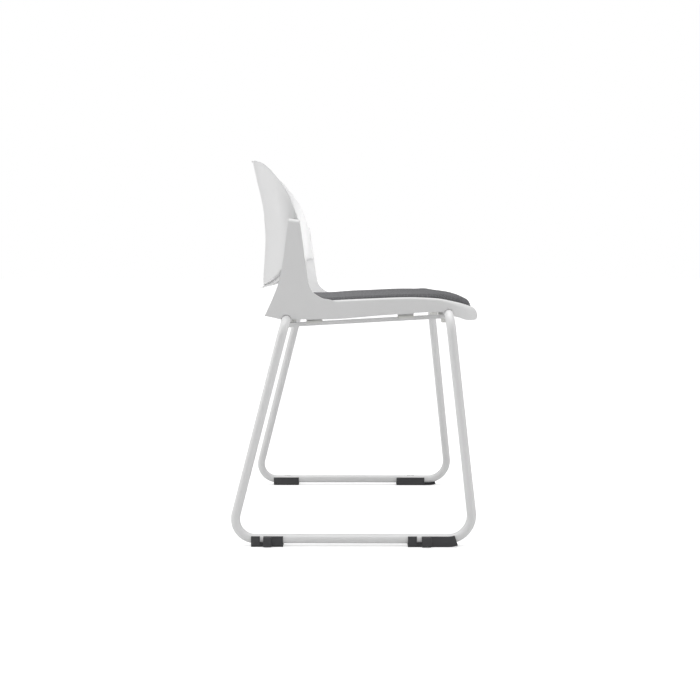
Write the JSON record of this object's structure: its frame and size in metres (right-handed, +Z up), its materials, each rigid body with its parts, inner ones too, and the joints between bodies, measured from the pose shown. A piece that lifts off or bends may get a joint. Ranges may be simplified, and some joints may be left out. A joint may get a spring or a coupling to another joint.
{
  "type": "sled base visitor chair",
  "caption": "Stackable visitor chair with a moulded seat shell, a curved back between two uprights, a thin seat pad and a bent tube sled base on linking glides.",
  "frame": {"origin": "middle of the chair's footprint, on the floor", "axes": "+Z up, the sitter faces -Y, +X is the sitter's left; the chair is symmetric about X = 0"},
  "size_m": [0.5596, 0.4963, 0.763],
  "materials": {
    "frame_paint": "white powder coat on steel tube, smooth satin",
    "shell_plastic": "white moulded polypropylene, fine grain",
    "spacer_plastic": "off-white moulded nylon",
    "pad_fabric": "dark grey woven upholstery",
    "pad_foam": "cut polyurethane foam",
    "pad_board": "thin moulded plywood",
    "glide_nylon": "black moulded nylon",
    "plain_steel": "zinc plated"
  },
  "bodies": {
    "root": {"sled_tube_left": "frame_paint", "sled_tube_right": "frame_paint", "joining_sleeve_rear": "plain_steel", "joining_sleeve_front": "plain_steel", "seat_shell": "shell_plastic", "back_shell": "shell_plastic", "back_cover": "shell_plastic", "pad_board": "pad_board", "pad_foam": "pad_foam", "pad_cover": "pad_fabric", "seat_rail_left": "frame_paint", "rail_pad_rear_left": "spacer_plastic", "rail_screw_rear_left": "plain_steel", "rail_pad_front_left": "spacer_plastic", "rail_screw_front_left": "plain_steel", "seat_rail_right": "frame_paint", "rail_pad_rear_right": "spacer_plastic", "rail_screw_rear_right": "plain_steel", "rail_pad_front_right": "spacer_plastic", "rail_screw_front_right": "plain_steel", "tube_clamp_rear_left": "spacer_plastic", "clamp_screw_rear_left_a": "plain_steel", "clamp_screw_rear_left_b": "plain_steel", "tube_clamp_front_left": "spacer_plastic", "clamp_screw_front_left_a": "plain_steel", "clamp_screw_front_left_b": "plain_steel", "tube_clamp_rear_right": "spacer_plastic", "clamp_screw_rear_right_a": "plain_steel", "clamp_screw_rear_right_b": "plain_steel", "tube_clamp_front_right": "spacer_plastic", "clamp_screw_front_right_a": "plain_steel", "clamp_screw_front_right_b": "plain_steel", "pad_screw_rear_left": "plain_steel", "pad_screw_front_left": "plain_steel", "pad_screw_rear_right": "plain_steel", "pad_screw_front_right": "plain_steel", "back_screw_lower_left": "plain_steel", "back_screw_upper_left": "plain_steel", "back_screw_lower_right": "plain_steel", "back_screw_upper_right": "plain_steel", "glide_rear_left": "glide_nylon", "glide_front_left": "glide_nylon", "glide_rear_right": "glide_nylon", "glide_front_right": "glide_nylon"}
  },
  "joints": []
}
